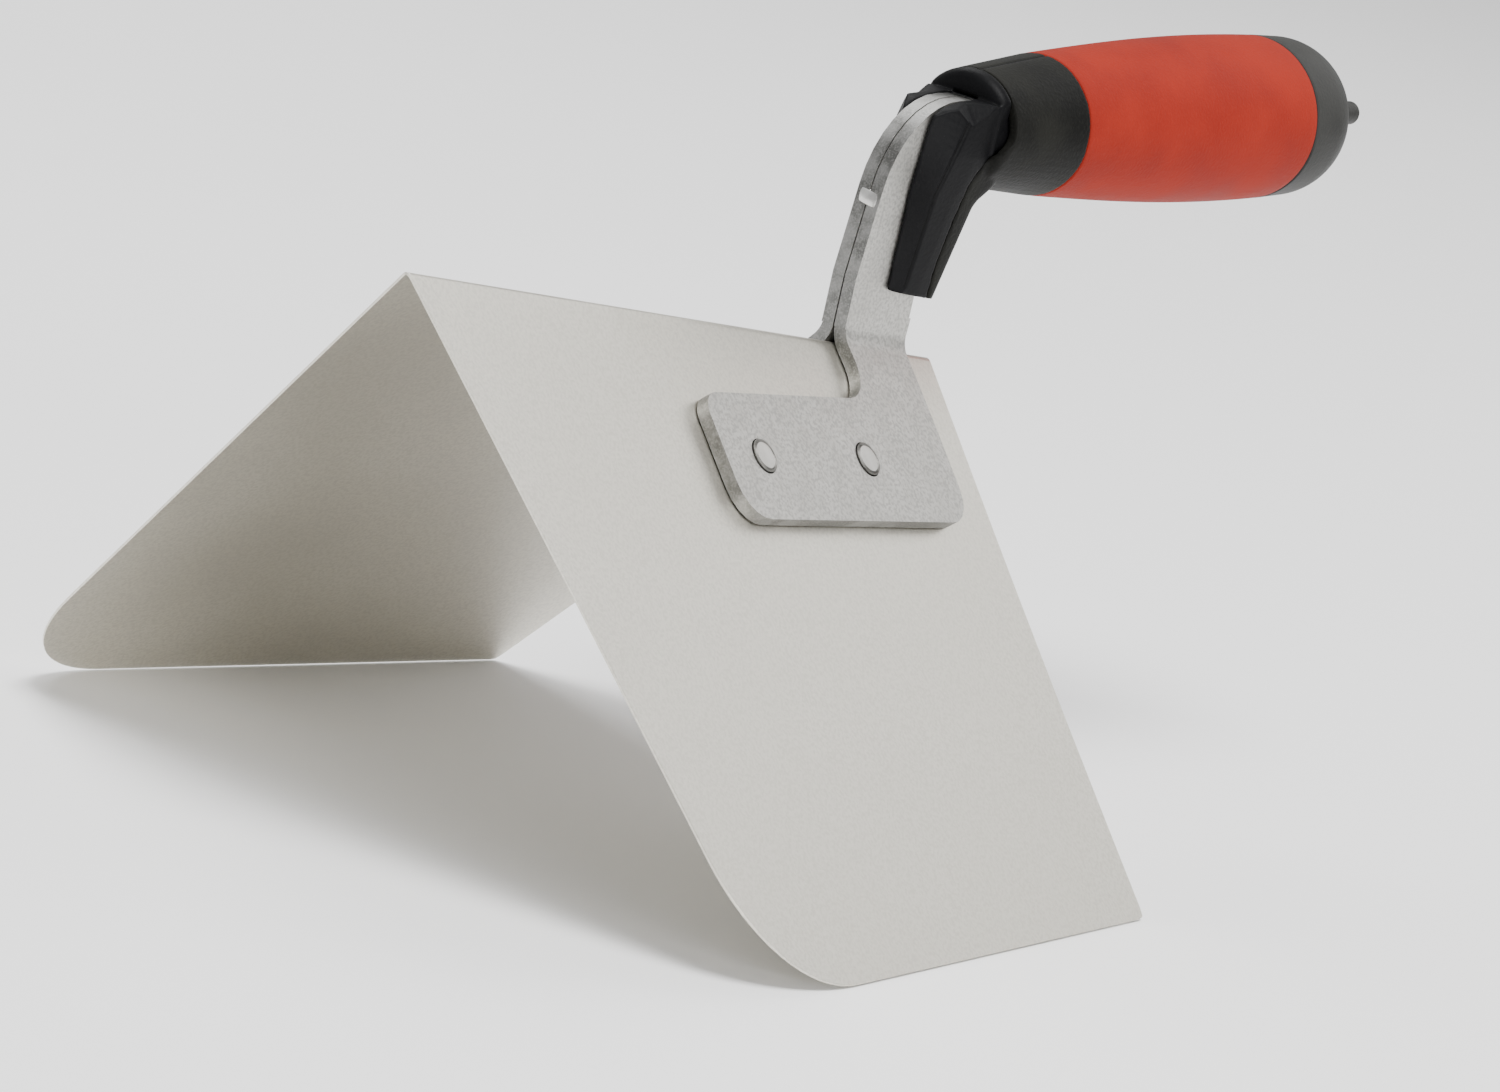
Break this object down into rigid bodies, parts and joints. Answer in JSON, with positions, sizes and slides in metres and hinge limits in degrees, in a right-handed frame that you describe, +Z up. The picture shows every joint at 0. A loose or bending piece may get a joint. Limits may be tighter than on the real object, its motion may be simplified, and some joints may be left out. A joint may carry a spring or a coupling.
{
  "type": "outside corner trowel",
  "caption": "Drywall and plaster corner trowel: a sheet folded to a right-angle ridge, riveted tang plates and a soft round grip with a finger guard.",
  "frame": {"origin": "middle of the foot of the bounding box, on the surface that the two wings' outer edges stand on", "axes": "+X along the ridge from the blade's front towards the handle's end; +Y across to the left wing; +Z up"},
  "size_m": [0.2958, 0.172, 0.1456],
  "materials": {
    "stainless_sheet": "satin stainless sheet, finely blasted, warm grey",
    "plate_steel": "tumbled steel plate, mottled, bright along worn edges",
    "rivet_steel": "flush ground steel with a turned ring",
    "black_plastic": "hard black plastic, satin",
    "black_rubber": "soft black rubber, fine matt grain",
    "red_rubber": "soft red rubber, fine matt grain",
    "grey_plastic": "grey moulded plastic, matt"
  },
  "bodies": {
    "root": {"blade": "stainless_sheet", "tang_plate_right": "plate_steel", "tang_plate_left": "plate_steel", "foot_rivet_right_front": "rivet_steel", "foot_rivet_right_rear": "rivet_steel", "foot_rivet_left_front": "rivet_steel", "foot_rivet_left_rear": "rivet_steel", "tang_pin_1": "rivet_steel", "tang_pin_2": "rivet_steel", "handle_core": "black_plastic", "guard_collar": "black_rubber", "grip_sleeve": "red_rubber", "end_cap": "grey_plastic", "end_stud": "grey_plastic"}
  },
  "joints": []
}
